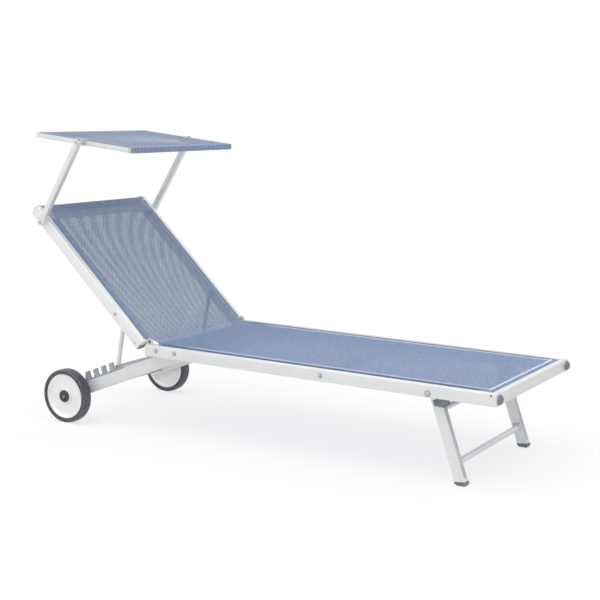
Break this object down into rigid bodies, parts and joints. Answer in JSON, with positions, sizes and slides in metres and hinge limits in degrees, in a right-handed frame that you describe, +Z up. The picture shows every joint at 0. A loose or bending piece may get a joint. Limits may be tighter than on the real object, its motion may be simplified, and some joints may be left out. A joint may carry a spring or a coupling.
{
  "type": "reclining sun lounger",
  "caption": "Flat sling bed with an adjustable backrest on a toothed-rack prop, folding front legs, rear wheels and a tilting sunshade.",
  "frame": {"origin": "on the floor, under the middle of the footprint", "axes": "+Z up, +X towards the foot end, +Y towards the left of someone lying on it"},
  "size_m": [1.8517, 0.673, 1.0689],
  "materials": {
    "rail": "silver-white satin, anodised extrusions",
    "hinge_metal": "light grey cast hinge insert, satin",
    "steel": "plated bolts, pins and axle",
    "dark_plastic": "moulded, matt",
    "grey_plastic": "moulded, satin",
    "white_plastic": "moulded wheel disc, semi-gloss",
    "tyre": "solid rubber, matt",
    "mesh": "woven coated mesh, matt"
  },
  "bodies": {
    "frame": {"side_rail_left": "rail", "side_rail_right": "rail", "foot_rail": "rail", "crossbar": "rail", "foot_plug_left": "grey_plastic", "foot_plug_right": "grey_plastic", "hinge_socket_left": "hinge_metal", "hinge_socket_right": "hinge_metal", "hinge_pin_left": "steel", "hinge_pin_right": "steel", "leg_bolt_left": "steel", "leg_bolt_right": "steel", "wheel_arm_left": "rail", "wheel_arm_right": "rail", "arm_cap_left": "dark_plastic", "arm_cap_right": "dark_plastic", "axle": "steel", "rack_left": "dark_plastic", "rack_right": "dark_plastic", "bed_sling": "mesh"},
    "backrest": {"back_rail_left": "rail", "back_rail_right": "rail", "head_rail": "rail", "head_plug_left": "grey_plastic", "head_plug_right": "grey_plastic", "hinge_fork_left": "dark_plastic", "hinge_fork_right": "dark_plastic", "prop_rivet_left": "steel", "prop_rivet_right": "steel", "shade_bolt_left": "steel", "shade_bolt_right": "steel", "back_sling": "mesh"},
    "prop": {"prop_leg_left": "rail", "prop_leg_right": "rail", "prop_bar": "rail"},
    "front_legs": {"leg_left": "rail", "leg_right": "rail", "leg_tube_upper": "rail", "leg_tube_lower": "rail", "foot_cap_left": "dark_plastic", "foot_cap_right": "dark_plastic", "knuckle_left": "dark_plastic", "knuckle_right": "dark_plastic"},
    "wheel_left": {"tyre_left": "tyre", "wheel_disc_left": "white_plastic", "hub_cap_left": "dark_plastic"},
    "wheel_right": {"tyre_right": "tyre", "wheel_disc_right": "white_plastic", "hub_cap_right": "dark_plastic"},
    "shade_arms": {"shade_arm_left": "rail", "shade_arm_right": "rail", "shade_arm_foot_left": "grey_plastic", "shade_arm_foot_right": "grey_plastic"},
    "canopy": {"canopy_side_left": "rail", "canopy_side_right": "rail", "canopy_bar_front": "rail", "canopy_bar_rear": "rail", "canopy_cloth": "mesh", "canopy_pin_left": "grey_plastic", "canopy_pin_right": "grey_plastic"}
  },
  "joints": [
    {"name": "backrest_recline", "type": "hinge", "parent": "frame", "child": "backrest", "pos_m": [-0.40261, 0, 0.3391], "axis": [0, 1, 0], "range_deg": [-43, 0]},
    {"name": "prop_swing", "type": "hinge", "parent": "backrest", "child": "prop", "pos_m": [-0.53715, 0, 0.42995], "axis": [0, 1, 0], "range_deg": [0, 121.84]},
    {"name": "leg_fold", "type": "hinge", "parent": "frame", "child": "front_legs", "pos_m": [0.69181, 0, 0.2891], "axis": [0, 1, 0], "range_deg": [0, 108]},
    {"name": "wheel_spin_left", "type": "hinge", "parent": "frame", "child": "wheel_left", "pos_m": [-0.78401, 0.3047, 0.1], "axis": [0, 1, 0], "continuous": true},
    {"name": "wheel_spin_right", "type": "hinge", "parent": "frame", "child": "wheel_right", "pos_m": [-0.78401, -0.3047, 0.1], "axis": [0, 1, 0], "continuous": true},
    {"name": "shade_swing", "type": "hinge", "parent": "backrest", "child": "shade_arms", "pos_m": [-0.86422, 0, 0.74337], "axis": [0, 1, 0], "range_deg": [-35, 40]},
    {"name": "shade_tilt", "type": "hinge", "parent": "shade_arms", "child": "canopy", "pos_m": [-0.6804, 0, 1.03414], "axis": [0, 1, 0], "range_deg": [-40, 25]}
  ],
  "couplings": [
    {"joint": "prop_swing", "follows": "backrest_recline", "ratio": -2.8324}
  ]
}
